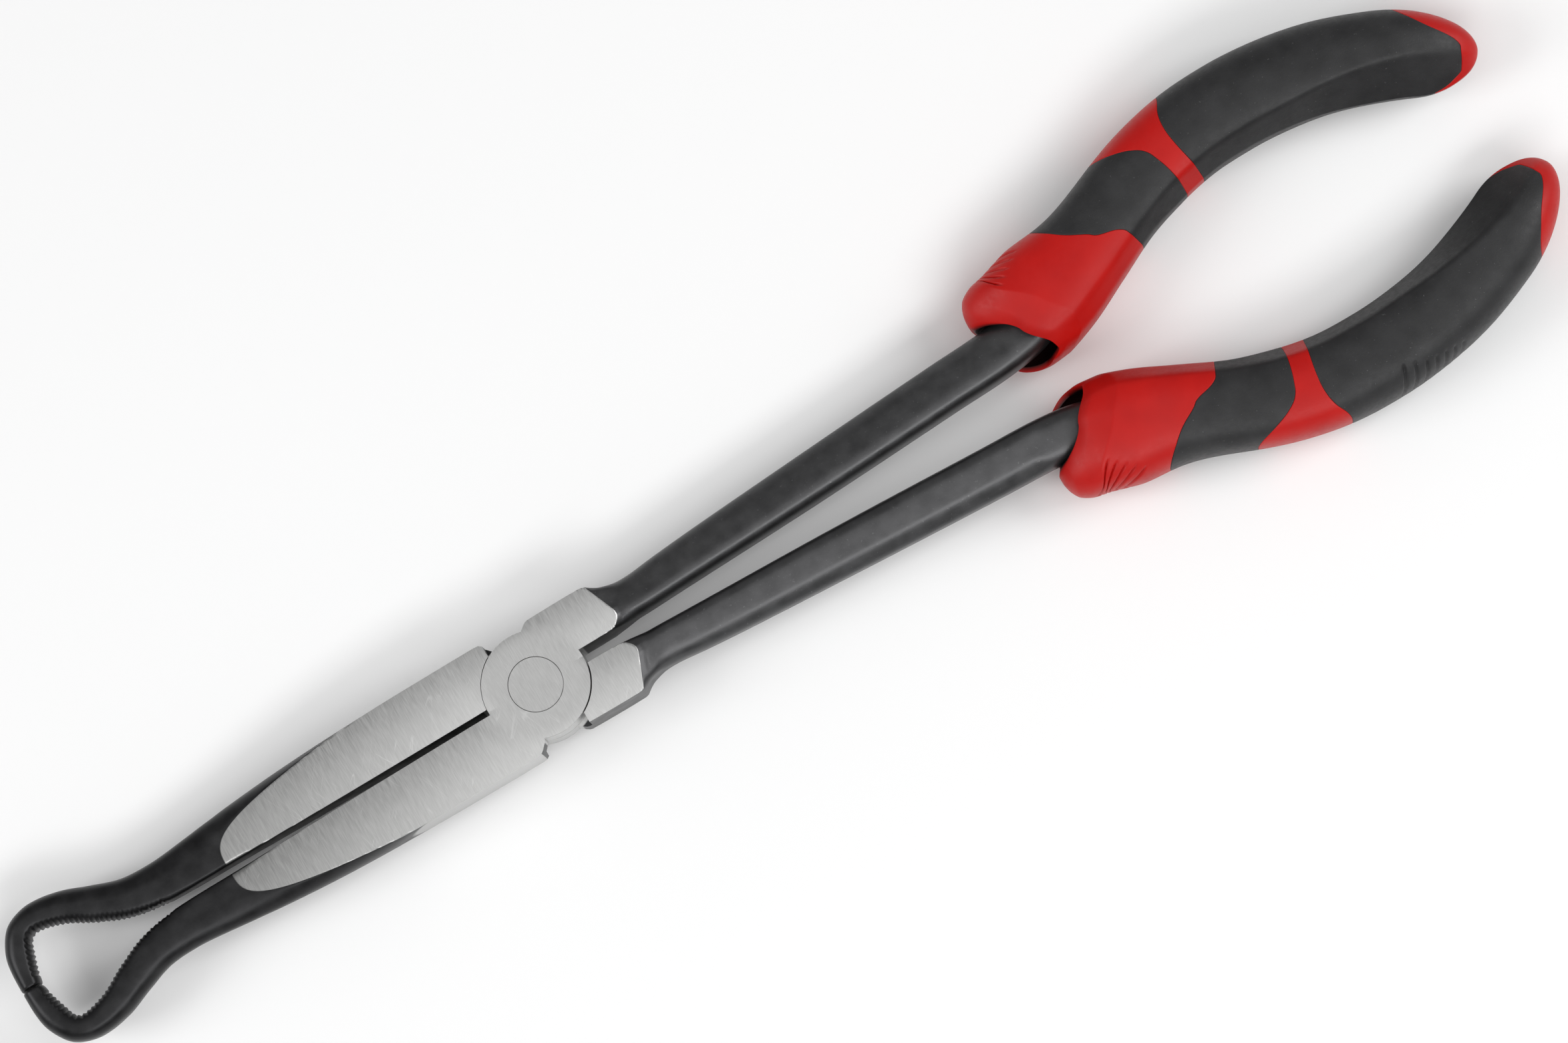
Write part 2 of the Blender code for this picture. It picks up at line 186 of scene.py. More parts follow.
# the first x, last x and number of the handle's sections: close together where the ground face ends
HANDLE_ROWS = [(2.1, 13.0, 24), (13.1, 19.0, 110), (19.3, 110.0, 120)]
TANG_END_X = 110.0
HEAD_POWER = 9.0
SHANK_POWER = 3.2
SHANK_POWER_X = (16.0, 20.0)
SHANK_TURN_X = (15.0, 24.0)  # where the sections turn from square to X to square to the centre line
SHANK_LEAN = 0.2  # how much thicker the shank is on its inner side than at its middle
SHANK_LEAN_X = (17.0, 22.0)
SHANK_LEAN_END_X = (88.0, 100.0)  # the lean and the bevel end inside the mouth
# the shank's outer edges are bevelled: where the bevel starts, and its slope
SHANK_BEVEL_START = 1.7
SHANK_BEVEL_SLOPE = 0.9
SHANK_BEVEL_SOFTNESS = 0.5
SHANK_BEVEL_X = (17.0, 26.0)
SHANK_BEVEL_CLEARANCE = 12.0
# how far ahead the head reads its height, by share of the way across: this slants the end of its ground face
HEAD_LAG = [
    (-1.0, 1.5), (-0.85, 1.05), (-0.7, 0.75), (-0.5, 0.45), (-0.2, 0.5), (0.1, 1.0), (0.5, 1.6), (0.8, 2.1),
    (1.0, 2.4),
]
HEAD_LAG_X = (10.0, 14.0)

# x, reach of the grip's skin outwards and inwards of the centre line, half thickness
SKIN_STATIONS = [
    (90.0, 11.0, 7.3, 7.6),
    (97.0, 11.4, 7.4, 8.0),
    (105.0, 10.8, 7.9, 8.0),
    (112.0, 8.6, 7.6, 7.4),
    (120.0, 7.6, 7.5, 7.1),
    (128.0, 7.65, 7.8, 7.3),
    (144.0, 7.8, 7.8, 7.9),
    (160.0, 7.75, 7.6, 7.8),
    (170.0, 7.55, 7.45, 7.3),
    (184.0, 7.3, 7.4, 6.8),
]
SKIN_CLEARANCE = 0.09
GRIP_END_X = 183.55
NOSE_START_OUTER_X = 168.5
NOSE_START_INNER_X = 174.5
NOSE_START_TOP_X = 171.0
GRIP_POWER = 2.7
GRIP_SIDES = 176
LEAST_REACH = 0.2

# the soft edge that runs along the grip: x, distance inwards of the centre line, slope of the face beyond it
RIDGE_STATIONS = [
    (96.0, 3.0, 1.0),
    (103.0, 4.6, 1.5),
    (112.0, 4.7, 1.7),
    (128.0, 4.8, 1.9),
    (150.0, 4.6, 2.0),
    (160.0, 3.6, 1.7),
    (170.0, 1.9, 1.15),
    (176.0, 1.2, 0.95),
    (184.0, 1.0, 0.9),
]
RIDGE_SOFTNESS = 0.6
RIDGE_HEIGHT = 0.985  # share of the grip's own height there

# the mouth of the grip, by angle round it: 0 on the outer side, 90 on top, 180 on the inner side, 270 below
MOUTH_RIM = [
    (0, 90.2), (45, 92.6), (90, 96.6), (130, 98.6), (155, 98.7), (180, 97.3), (215, 95.0), (245, 92.7),
    (290, 91.6), (330, 90.5), (360, 90.2),
]
MOUTH_NOSE = [(0, 5.0), (90, 6.0), (180, 3.2)]
MOUTH_OUTER = 4.9
MOUTH_INNER = 5.8
MOUTH_HEIGHT = 4.7
MOUTH_LIP = 0.8
LIP_DEPTH = 0.5
MOUTH_DEPTH_X = 106.0
NOSE_POWER = 2.3
NOSE_LIP = 0.3  # the share of the nose that is rounded at the lip
NOSE_STEP = 0.28
NOSE_SLOPE = 0.78
NOSE_SOFTNESS = 0.025
NOSE_CROWDING = 1.6
NOSE_BULB_DEGREES = (30.0, 80.0)
NOSE_ROWS = 48
BORE_ROWS = 12
TANG_ROOM = 0.4
TANG_HOLE_ROWS = 6

# where the soft black panels begin and end, as (angle, x)
COLLAR_END = [(0, 109.5), (50, 110.7), (77, 112.5), (90, 114.2), (105, 116.7), (120, 117.6), (180, 117.6)]
BAND_START = [
    (0, 122.4), (27, 123.2), (50, 125.2), (70, 127.5), (82, 128.8), (92, 129.4), (116, 129.6), (180, 129.3),
]
BAND_END = [(0, 135.9), (40, 135.3), (58, 134.3), (75, 133.6), (95, 133.2), (130, 133.4), (180, 133.5)]
CAP_START = [
    (0, 172.0), (45, 173.8), (66, 177.0), (78, 180.0), (90, 181.2), (130, 181.5), (150, 180.2), (180, 177.5),
]
COLLAR_ROWS = 110
BAND_ROWS = 40
CAP_ROWS = 70
# rows of skin and of inner wall in each soft panel: the rear one has the finger grooves
FRONT_PANEL_ROWS = (60, 8)
REAR_PANEL_ROWS = (320, 24)
FRONT_BED_ROWS = 5
REAR_BED_ROWS = 16
BED_INSET = 0.02  # share of the way
PANEL_DEPTH = 1.4
PANEL_ROOM = 0.15
PARTING_ROUND = 0.1
PARTING_GAP = 0.02

# finger grooves: x where each crosses the outer edge, and how far round it runs
COLLAR_GROOVES = [(94.9, 60.0), (96.8, 56.0), (98.7, 51.0), (100.6, 46.0), (102.4, 40.0)]
COLLAR_GROOVE_LEAN = 0.09
REAR_GROOVES = [
    (144.0, 66.0), (145.9, 60.0), (147.8, 53.0), (149.5, 47.0), (151.2, 43.0), (152.8, 38.0), (154.4, 33.0),
]
REAR_GROOVE_LEAN = 0.03
REAR_GROOVE_EDGE = (-14.0, 4.0)  # degrees below the outer edge
GROOVE_DEPTH = 0.38
GROOVE_WIDTH = 0.25
GROOVE_FADE = 10.0
GROOVE_INSET = (0.2, 1.0)  # under the skin the grooves fade out

# ---------------------------------------------------------------- curves and arrays


def curve_through(knots, level_ends=False):
    """A function through (place, value, ...) knots: a cubic between each two, with parabola slopes that are held
    back to three times the smaller chord. With level_ends its slope is 0 at the first and last knot."""
    table = np.array(knots, float)
    places, values = table[:, 0], table[:, 1:]
    steps = np.diff(places)[:, None]
    chords = np.diff(values, axis=0) / steps
    slopes = np.zeros_like(values)
    if not level_ends:
        slopes[0], slopes[-1] = chords[0], chords[-1]
    before, after = chords[:-1], chords[1:]
    parabola = (before * steps[1:] + after * steps[:-1]) / (steps[1:] + steps[:-1])
    limit = 3.0 * np.minimum(abs(before), abs(after))
    slopes[1:-1] = np.where(before * after > 0, np.clip(parabola, -limit, limit), 0.0)

    def at(place):
        """The curve's value at each place."""
        place = np.asarray(place, float)
        flat = place.ravel()
        i = np.clip(np.searchsorted(places, flat, side="right") - 1, 0, len(steps) - 1)
        t = np.clip((flat - places[i]) / steps[i, 0], 0.0, 1.0)[:, None]
        lead = t * t * (3 - 2 * t)
        value = values[i] * (1 - lead) + values[i + 1] * lead
        value = value + steps[i] * t * (1 - t) * ((1 - t) * slopes[i] - t * slopes[i + 1])
        value = value.reshape(place.shape + (values.shape[1],))
        return value[..., 0] if values.shape[1] == 1 else value

    return at


handle_line = curve_through(HANDLE_STATIONS)
grip_skin = curve_through(SKIN_STATIONS)
grip_ridge = curve_through(RIDGE_STATIONS)
mouth_rim = curve_through(MOUTH_RIM, level_ends=True)
mouth_nose = curve_through(MOUTH_NOSE, level_ends=True)
collar_end = curve_through(COLLAR_END, level_ends=True)
band_start = curve_through(BAND_START, level_ends=True)
band_end = curve_through(BAND_END, level_ends=True)
cap_start = curve_through(CAP_START, level_ends=True)


def ramp(value, low, high):
    """0 below low, 1 above high, and the cubic t*t*(3 - 2t) between them."""
    t = np.clip((value - low) / (high - low), 0.0, 1.0)
    return t * t * (3 - 2 * t)


def soft_min(a, b, softness):
    """The smaller of a and b, with the corner between them rounded by a parabola where they differ by less."""
    h = np.maximum(softness - np.abs(a - b), 0.0) / softness
    return np.minimum(a, b) - h * h * softness / 4


def superellipse(angle, power):
    """Cosine and sine raised to 2/power with their signs kept: a higher power gives a squarer section."""
    c, s = np.cos(angle), np.sin(angle)
    return np.sign(c) * np.abs(c) ** (2 / power), np.sign(s) * np.abs(s) ** (2 / power)


def even_superellipse(angle, power):
    """The same outline met by rays at even angles, so that a nearly square section keeps points along its flats:
    each ray's length is (|cos|^power + |sin|^power)^(-1/power)."""
    c, s = np.cos(angle), np.sin(angle)
    reach = (np.abs(c) ** power + np.abs(s) ** power) ** (-1 / power)
    return c * reach, s * reach


def turns(count):
    """That many even angles round a circle, each in the middle of its step."""
    return 2 * np.pi * (np.arange(count) + 0.5) / count


def rows_of(count):
    return max(int(count * DETAIL), 4)


def folded(angle):
    """Degrees round the grip, with the lower half folded onto the upper one."""
    degrees = np.degrees(angle) % 360.0
    return np.where(degrees <= 180.0, degrees, 360.0 - degrees)


def quads_of(rows, columns, first=0):
    """Corner numbers of the quads between the rows of a grid whose columns close round."""
    i, j = np.meshgrid(np.arange(rows - 1), np.arange(columns), indexing="ij")
    k = (j + 1) % columns
    quads = np.stack([i * columns + j, i * columns + k, (i + 1) * columns + k, (i + 1) * columns + j], axis=-1)
    return quads.reshape(-1, 4) + first


def mesh_from(name, points, quads, fans=()):
    """A mesh of points in millimetres, quads, and fans of triangles (rim numbers, hub number)."""
    faces = quads.tolist()
    for rim, hub in fans:
        faces += np.stack([rim, np.roll(rim, -1), np.full(len(rim), hub)], axis=1).tolist()
    mesh = bpy.data.meshes.new(name)
    mesh.from_pydata((points * MM).tolist(), [], faces)
    mesh.update()
    return mesh


def outward(mesh):
    """Turns every face of a closed mesh to face out, by the sign of its volume."""
    mesh.calc_loop_triangles()
    co = np.empty(len(mesh.vertices) * 3)
    mesh.vertices.foreach_get("co", co)
    tri = np.empty(len(mesh.loop_triangles) * 3, np.int32)
    mesh.loop_triangles.foreach_get("vertices", tri)
    a, b, c = np.moveaxis(co.reshape(-1, 3)[tri.reshape(-1, 3)], 1, 0)
    if np.einsum("ij,ij->i", a, np.cross(b, c)).sum() < 0:
        mesh.flip_normals()
    return mesh


def tube_mesh(name, loops):
    """A closed body through loops (rows, columns, 3): each end is closed by a fan to its loop's middle."""
    rows, columns = loops.shape[:2]
    hubs = np.stack([loops[0].mean(axis=0), loops[-1].mean(axis=0)])
    points = np.concatenate([loops.reshape(-1, 3), hubs])
    first = np.arange(columns)
    last = first[::-1] + (rows - 1) * columns
    fans = [(first[::-1], rows * columns), (last[::-1], rows * columns + 1)]
    return outward(mesh_from(name, points, quads_of(rows, columns), fans))


def ring_mesh(name, loops):
    """A closed body through loops that return to the first one."""
    rows, columns = loops.shape[:2]
    looped = np.concatenate([loops, loops[:1]])
    quads = quads_of(rows + 1, columns) % (rows * columns)
    return outward(mesh_from(name, looped[:-1].reshape(-1, 3), quads))


def round_bar(name, radius, low, high, chamfer=0.0, sides=128):
    """A turned bar along Z: circles at the two ends, drawn in by the chamfer."""
    radii = np.array([radius - chamfer, radius, radius, radius - chamfer])
    heights = np.array([low, low + chamfer, high - chamfer, high])
    if not chamfer:
        radii, heights = radii[1:3], heights[[0, 3]]
    around = turns(sides)
    loops = np.stack(
        [
            radii[:, None] * np.cos(around),
            radii[:, None] * np.sin(around),
            np.broadcast_to(heights[:, None], (len(radii), sides)),
        ],
        axis=-1,
    )
    return tube_mesh(name, loops)


def moved_mesh(mesh, x):
    """The mesh moved along X by x millimetres."""
    mesh.transform(Matrix.Translation((x * MM, 0, 0)))
    return mesh


def block(name, outline, low, high):
    """A convex outline of (x, y) points pushed along Z."""
    flat = np.array(outline, float)
    loops = np.stack([np.column_stack([flat, np.full(len(flat), z)]) for z in (low, high)])
    return tube_mesh(name, loops)


def combined(start, steps):
    """The mesh left when start is joined with, or cut by, each mesh of steps in turn."""
    scene = bpy.context.scene.collection
    body = bpy.data.objects.new(start.name, start)
    scene.objects.link(body)
    tools = []
    for operation, mesh in steps:
        tool = bpy.data.objects.new(mesh.name, mesh)
        scene.objects.link(tool)
        tools.append(tool)
        modifier = body.modifiers.new(mesh.name, "BOOLEAN")
        modifier.operation, modifier.object, modifier.solver = operation, tool, "MANIFOLD"
    graph = bpy.context.evaluated_depsgraph_get()
    result = bpy.data.meshes.new_from_object(body.evaluated_get(graph))
    for obj in [body] + tools:
        bpy.data.objects.remove(obj)
    return result


def flat_ground_faces(mesh):
    """Faces square to Z are shaded flat, so that a ground plane has no shading from its rim."""
    normals = np.empty(len(mesh.polygons) * 3, np.float32)
    mesh.polygons.foreach_get("normal", normals)
    level = np.abs(normals.reshape(-1, 3)[:, 2]) > 0.99999
    mesh.polygons.foreach_set("use_smooth", ~level)


AS_MADE = Matrix.Identity(4)
TURNED_OVER = Matrix.Rotation(math.pi, 4, "X")
MIRRORED = Matrix.Scale(-1, 4, (0, 1, 0))


def finished(name, mesh, way, material, body, nodes, sharp_above=32.0):
    """A piece in its place: turned over or mirrored for lever_b, lifted to the joint's middle, and riding on its
    body."""
    own = mesh.copy()
    own.name = name
    own.transform(Matrix.Translation((0, 0, HALF_HEAD * MM)) @ way)
    outward(own)
    own.shade_smooth()
    flat_ground_faces(own)
    own.set_sharp_from_angle(angle=math.radians(sharp_above))
    own.materials.clear()
    own.materials.append(material)
    piece = bpy.data.objects.new(name, own)
    bpy.context.scene.collection.objects.link(piece)
    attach(piece, body)
    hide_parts(*nodes)
    return piece


# ---------------------------------------------------------------- the forged lever


def ground_height(x):
    """Half the thickness between the ground faces: level at the joint, then falling evenly towards the tips, and
    lifting clear of the forging past the end of the flats."""
    clear = GRIND_CLEARANCE * ramp(-x, -FLAT_TIP_X, -FLAT_TIP_X + 2.0)
    return HALF_HEAD - GRIND_FALL * np.maximum(GRIND_BREAK_X - x, 0.0) + clear


def ground_down(points):
    """Grinds the forging: heights end at the ground faces and the head's sides at their own plane."""
    x, y, z = np.moveaxis(points, -1, 0)
    softness = EDGE_SOFTNESS + (HANDLE_EDGE_SOFTNESS - EDGE_SOFTNESS) * ramp(x, *HANDLE_EDGE_X)
    z = np.sign(z) * soft_min(np.abs(z), ground_height(x), softness)
    near_head = ramp(x, *SIDE_GRIND_JAW) * (1 - ramp(x, *SIDE_GRIND_SHANK))
    side = soft_min(np.abs(y), np.full_like(y, SIDE_GRIND_Y), EDGE_SOFTNESS)
    y = np.sign(y) * (np.abs(y) * (1 - near_head) + side * near_head)
    return np.stack([x, y, z], axis=-1)


def jaw_loops():
    """Superellipse sections that span the jaw's inner and outer edges. Over the tip's end they shrink by
    depth * (1 - sqrt(1 - t*t)). The inner side of the ring is cut by V-shaped teeth: a triangle wave along the
    inner edge, pushed back into the arm."""
    table = np.array(JAW_STATIONS)
    middles = (table[:, 0:2] + table[:, 2:4]) / 2
    along = np.concatenate([[0], np.cumsum(np.linalg.norm(np.diff(middles, axis=0), axis=1))])
    edges = curve_through(np.column_stack([along, table]))
    share = curve_through(JAW_CROWDING)(np.linspace(0, 1, rows_of(JAW_SECTIONS)))
    ax, ay, bx, by, height = np.moveaxis(edges(share * along[-1]), -1, 0)
    inner, outer = np.stack([ax, ay], -1), np.stack([bx, by], -1)
    middle, across = (inner + outer) / 2, (outer - inner) / 2
    tip = np.clip((share - TIP_ROUND_START) / TIP_ROUND_LENGTH, 0, 1)[:, None]
    squeeze = 1 - TIP_ROUND_DEPTH * (1 - np.sqrt(1 - tip**2))
    angle = turns(LEVER_SIDES)[None, :]
    power = np.where(
        np.cos(angle) > 0,
        curve_through(OUTER_POWER)(share)[:, None],
        curve_through(INNER_POWER)(share)[:, None],
    )
    c, s = even_superellipse(angle, power)
    length = np.concatenate([[0], np.cumsum(np.linalg.norm(np.diff(inner, axis=0), axis=1))])
    wave = np.abs(((length / TOOTH_PITCH) % 1.0) * 2 - 1)
    fade = ramp(-ax, -TEETH_START_X, -TEETH_START_X + TEETH_FADE) * (1 - ramp(share, *TEETH_END))
    bite = (TOOTH_DEPTH * wave * fade)[:, None] * ramp(-c, *TEETH_SIDE)
    unit = across / np.linalg.norm(across, axis=1)[:, None]
    flat = middle[:, None] + across[:, None] * (c * squeeze)[..., None] + unit[:, None] * bite[..., None]
    loops = np.stack([flat[..., 0], -flat[..., 1], height[:, None] * s * squeeze], axis=-1)
    return ground_down(loops)


def handle_frame(x):
    """The centre line's y at x, and the unit normal there, from its slope over 0.4 mm. At the head the sections
    stay square to X."""
    y = handle_line(x)[..., 0]
    slope = (handle_line(x + 0.2)[..., 0] - handle_line(x - 0.2)[..., 0]) / 0.4
    slope = slope * ramp(x, *SHANK_TURN_X)
    size = np.sqrt(1 + slope**2)
    return y, -slope / size, 1 / size


def placed(x, across, height):
    """The point that far across the centre line, and that high, at x along it."""
    y, nx, ny = handle_frame(x)
    return np.stack([x + nx * across, y + ny * across, height + 0 * x], axis=-1)


def handle_loops():
    """Superellipse sections square to the centre line. The head end is square and high enough to be ground, and it
    reads its height further along by the head's lag. The shank is a rounder bar: its height is multiplied by
    1 - lean * share across, and a sloping plane bevels its outer edges."""
    x = np.concatenate([np.linspace(first, last, rows_of(count)) for first, last, count in HANDLE_ROWS])[:, None]
    angle = turns(LEVER_SIDES)[None, :]
    power = HEAD_POWER + (SHANK_POWER - HEAD_POWER) * ramp(x, *SHANK_POWER_X)
    c, s = even_superellipse(angle, power)
    before_mouth = 1 - ramp(x, *SHANK_LEAN_END_X)
    lag = curve_through(HEAD_LAG)(c) * ramp(x, *HEAD_LAG_X)
    lean = SHANK_LEAN * ramp(x, *SHANK_LEAN_X) * before_mouth
    half_height = handle_line(x + lag)[..., 2] * (1 - lean * c)
    across, height = handle_line(x)[..., 1] * c, half_height * s
    bevel = handle_line(x)[..., 2] - SHANK_BEVEL_SLOPE * (across - SHANK_BEVEL_START)
    bevel = bevel + SHANK_BEVEL_CLEARANCE * (1 - ramp(x, *SHANK_BEVEL_X) * before_mouth)
    height = np.sign(s) * soft_min(np.abs(height), bevel, SHANK_BEVEL_SOFTNESS)
    return ground_down(placed(x + 0 * across, across, height))


def lever_mesh():
    """lever_a: its disc fills the upper half of the joint, with room below it for lever_b's disc."""
    deep = HALF_HEAD + 4.0
    lap = LAP_GAP / 2
    box = [(i * SHOULDER_X, j * SHOULDER_Y) for i, j in ((-1, -1), (1, -1), (1, 1), (-1, 1))]
    disc_room = round_bar("room_for_other_disc", DISC_RADIUS + DISC_ROOM, -deep, lap)
    return combined(
        tube_mesh("jaw", jaw_loops()),
        [
            ("UNION", tube_mesh("handle", handle_loops())),
            ("DIFFERENCE", moved_mesh(disc_room, DISC_ROOM_X)),
            ("DIFFERENCE", block("room_between_shoulders", box, -deep - 0.5, lap + SLIP)),
            ("UNION", round_bar("disc", DISC_RADIUS, lap + 2 * SLIP, HALF_HEAD - 2 * SLIP, DISC_CHAMFER)),
            ("DIFFERENCE", round_bar("rivet_hole", RIVET_RADIUS + RIVET_ROOM, -deep, deep + 1.0)),
        ],
    )


# ---------------------------------------------------------------- the grip


def nose_fall(x, start):
    """1 until start, then down a quarter ellipse to 0 at the grip's end."""
    t = np.clip((x - start) / (GRIP_END_X - start), 0.0, 1.0)
    return np.sqrt(1.0 - t * t)


def grooves(x, angle):
    """Depth of the finger grooves: a bell-shaped cut along each leaning line, fading out where the line ends. The
    rear ones lie on the underside only."""
    degrees = folded(angle)
    below = np.where(np.degrees(angle) % 360.0 > 180.0, degrees, -degrees)
    depth = np.zeros(np.broadcast_shapes(x.shape, degrees.shape))
    for rows, lean, kept in (
        (COLLAR_GROOVES, COLLAR_GROOVE_LEAN, 1.0),
        (REAR_GROOVES, REAR_GROOVE_LEAN, ramp(below, *REAR_GROOVE_EDGE)),
    ):
        for start, reach in rows:
            away = (x - start - lean * degrees) / GROOVE_WIDTH
            depth += np.exp(-(away**2)) * (1 - ramp(degrees, reach - GROOVE_FADE, reach)) * kept
    return GROOVE_DEPTH * depth


def skin_reach(x, angle, inset=0.0):
    """(across, height) of the grip's skin: a superellipse whose inner upper side is planed off along the soft
    edge, with the finger grooves sunk in it, moved in by inset."""
    outwards, inwards, top = np.moveaxis(grip_skin(x) - SKIN_CLEARANCE, -1, 0)
    outwards = outwards * nose_fall(x, NOSE_START_OUTER_X)
    inwards = inwards * nose_fall(x, NOSE_START_INNER_X)
    top = top * nose_fall(x, NOSE_START_TOP_X)
    c, s = superellipse(angle, GRIP_POWER)
    sunk = inset + grooves(x, angle) * (1 - ramp(inset, *GROOVE_INSET))
    side = np.maximum(np.where(c > 0, outwards, inwards) - sunk, LEAST_REACH)
    high = np.maximum(top - sunk, LEAST_REACH)
    across, height = side * c, np.abs(high * s)
    ridge, slope = np.moveaxis(grip_ridge(x), -1, 0)
    plane = high * RIDGE_HEIGHT - slope * (-across - ridge)
    height = np.where(c < 0, np.maximum(soft_min(height, plane, RIDGE_SOFTNESS), 0.0), height)
    return across, np.sign(s) * height


def mouth_reach(angle, lip=0.0):
    """(across, height) of the hole that the shank enters, made wider by lip."""
    c, s = superellipse(angle, GRIP_POWER)
    return (np.where(c > 0, MOUTH_OUTER, MOUTH_INNER) + lip) * c, (MOUTH_HEIGHT + lip) * s


GRIP_ANGLES = turns(rows_of(GRIP_SIDES))
GRIP_DEGREES = folded(GRIP_ANGLES)
GRIP_TURN = np.degrees(GRIP_ANGLES)


def skin_rows(x, inset=0.0):
    """Loops on the skin, where x is an array (rows, columns)."""
    angle = np.broadcast_to(GRIP_ANGLES, x.shape)
    return placed(x, *skin_reach(x, angle, inset))


def between(start, end, shares):
    """x at every share of the way from one edge line to another, for every angle."""
    shares = np.asarray(shares)[:, None]
    return start(GRIP_DEGREES)[None, :] * (1 - shares) + end(GRIP_DEGREES)[None, :] * shares


def moved(edge, distance):
    """An edge line moved along X by a distance."""
    return lambda degrees: edge(degrees) + distance


def rounded_edge(edge, direction, depth):
    """Loops from the bottom of a parting line up its wall and over a quarter round onto the skin. direction is
    1 where the skin lies on the +x side of the edge, and -1 where it lies on the -x side."""
    quarter = np.radians([0, 30, 60])
    insets = np.concatenate([[depth], PARTING_ROUND * (1 - np.sin(quarter))])
    offsets = np.concatenate([[0.0], PARTING_ROUND * (1 - np.cos(quarter))])
    rows = [
        skin_rows(edge(GRIP_DEGREES)[None, :] + direction * offset, inset)
        for inset, offset in zip(insets, offsets)
    ]
    rows = rows if direction > 0 else rows[::-1]
    return np.concatenate(rows)


def zone_rows(start, end, count, depth=PANEL_DEPTH):
    """Skin between two edge lines, with a rounded edge and a wall at both."""
    inner = between(moved(start, PARTING_ROUND), moved(end, -PARTING_ROUND), np.linspace(0, 1, count))
    return np.concatenate([rounded_edge(start, 1, depth), skin_rows(inner), rounded_edge(end, -1, depth)])


def bed_rows(start, end, count):
    """The sunk bed under a soft panel, between its two walls."""
    return skin_rows(between(start, end, np.linspace(BED_INSET, 1 - BED_INSET, count)), PANEL_DEPTH)


def mouth_rows():
    """From the hole's floor out to the lip, then over the nose. On the outer side that is a superellipse quarter;
    elsewhere a parabola at the lip, then a straight slope up to the skin, which it meets at a soft edge."""
    angle = GRIP_ANGLES[None, :]
    rim = mouth_rim(GRIP_TURN)[None, :]
    share = np.linspace(0, 1, rows_of(BORE_ROWS))[:, None]
    x = MOUTH_DEPTH_X * (1 - share) + (rim + LIP_DEPTH) * share
    hole = placed(x + 0 * angle, *[np.broadcast_to(v, x.shape) + 0 * x for v in mouth_reach(angle)])
    lead = (np.linspace(0, 1, rows_of(NOSE_ROWS)) ** NOSE_CROWDING)[:, None]
    lip_round = 1 - (1 - np.minimum(lead / NOSE_LIP, 1)) ** 2
    straight = soft_min(NOSE_STEP * lip_round + NOSE_SLOPE * lead, np.ones_like(lead), NOSE_SOFTNESS)
    bulb = (1 - (1 - lead) ** NOSE_POWER) ** (1 / NOSE_POWER)
    on_bulb = 1 - ramp(GRIP_DEGREES, *NOSE_BULB_DEGREES)[None, :]
    rise = bulb * on_bulb + straight * (1 - on_bulb)
    x = rim + mouth_nose(GRIP_DEGREES)[None, :] * lead
    lip, skin = mouth_reach(angle, MOUTH_LIP), skin_reach(x, np.broadcast_to(angle, x.shape))
    across, height = (a + (b - a) * rise for a, b in zip(lip, skin))
    return np.concatenate([hole, placed(x, across, height)])


def tang_hole_rows():
    """The blind hole for the tang, from its bottom out to the mouth's floor."""
    x = np.linspace(TANG_END_X + 1.0, MOUTH_DEPTH_X, TANG_HOLE_ROWS)[:, None] + 0 * GRIP_ANGLES[None, :]
    c, s = superellipse(GRIP_ANGLES[None, :], SHANK_POWER)
    half_width, half_height = handle_line(x)[..., 1], handle_line(x)[..., 2]
    return placed(x, (half_width + TANG_ROOM) * c, (half_height + TANG_ROOM) * s)


def nose_end(degrees):
    """x where the nose meets the skin, all round."""
    return mouth_rim(GRIP_TURN) + mouth_nose(degrees)


def cap_end(degrees):
    """x of the cap's last loop, just short of the point where the skin closes."""
    return np.full_like(degrees, GRIP_END_X - 0.02)


def core_mesh():
    """The hard red shot: collar, band and end cap in one, with a sunk bed for each soft panel."""
    collar = between(nose_end, moved(collar_end, -PARTING_ROUND), np.linspace(0, 1, rows_of(COLLAR_ROWS))[1:])
    # rows crowd towards the tip, where the nose turns over
    tip = 1 - (1 - np.linspace(0, 1, rows_of(CAP_ROWS))) ** 2
    cap = between(moved(cap_start, PARTING_ROUND), cap_end, tip)
    loops = [
        tang_hole_rows(),
        mouth_rows(),
        skin_rows(collar),
        rounded_edge(collar_end, -1, PANEL_DEPTH),
        bed_rows(collar_end, band_start, FRONT_BED_ROWS),
        zone_rows(band_start, band_end, rows_of(BAND_ROWS)),
        bed_rows(band_end, cap_start, REAR_BED_ROWS),
        rounded_edge(cap_start, 1, PANEL_DEPTH),
        skin_rows(cap),
    ]
    mesh = tube_mesh("grip_core", np.concatenate(loops))
    # the hole's painted shade: 1 inside the mouth, down to 0 at its lip
    inside = TANG_HOLE_ROWS + rows_of(BORE_ROWS)
    painted_bore_shade = np.zeros(len(mesh.vertices), np.float32)
    painted_bore_shade[: inside * len(GRIP_ANGLES)] = 1.0
    mesh.attributes.new("painted_bore_shade", "FLOAT", "POINT").data.foreach_set("value", painted_bore_shade)
    return mesh


def panel_mesh(name, start, end, rows):
    """A soft black sleeve in its bed: skin outside, rounded edges, and its own inner wall."""
    outer, inner = rows
    start, end = moved(start, PARTING_GAP), moved(end, -PARTING_GAP)
    inside = between(start, end, np.linspace(1 - BED_INSET, BED_INSET, inner))
    outside = zone_rows(start, end, rows_of(outer), PANEL_DEPTH - PANEL_ROOM)
    return ring_mesh(name, np.concatenate([outside, skin_rows(inside, PANEL_DEPTH - PANEL_ROOM)]))


# ---------------------------------------------------------------- materials


